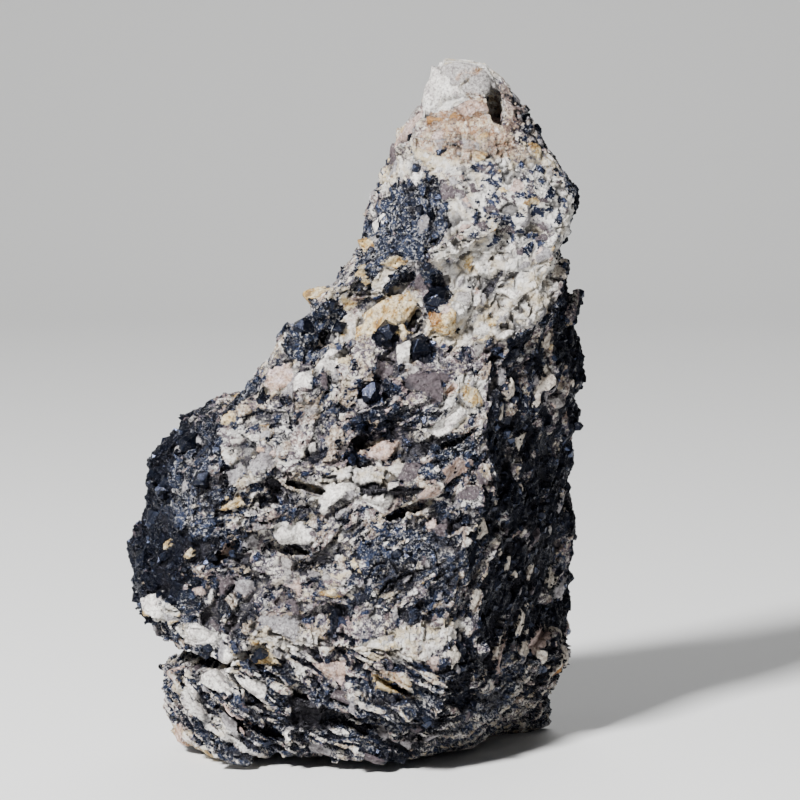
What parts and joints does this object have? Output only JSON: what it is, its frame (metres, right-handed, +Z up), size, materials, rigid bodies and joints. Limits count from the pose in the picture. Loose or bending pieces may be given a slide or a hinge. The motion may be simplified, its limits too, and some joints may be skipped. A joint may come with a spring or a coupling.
{
  "type": "willemite with franklinite",
  "caption": "Upright broken hand specimen of banded zinc ore: pale willemite and calcite with black franklinite crystals, standing on its own foot.",
  "frame": {"origin": "on the ground, under the middle of the specimen's box", "axes": "+Z up, the broad banded front face towards -Y, +X to the right as seen from the front"},
  "size_m": [0.074, 0.0546, 0.1103],
  "materials": {
    "ore": "rough broken rock: chalky to glassy pale grains, black crystals with a metallic glint"
  },
  "bodies": {
    "root": {"specimen": "ore"}
  },
  "joints": []
}
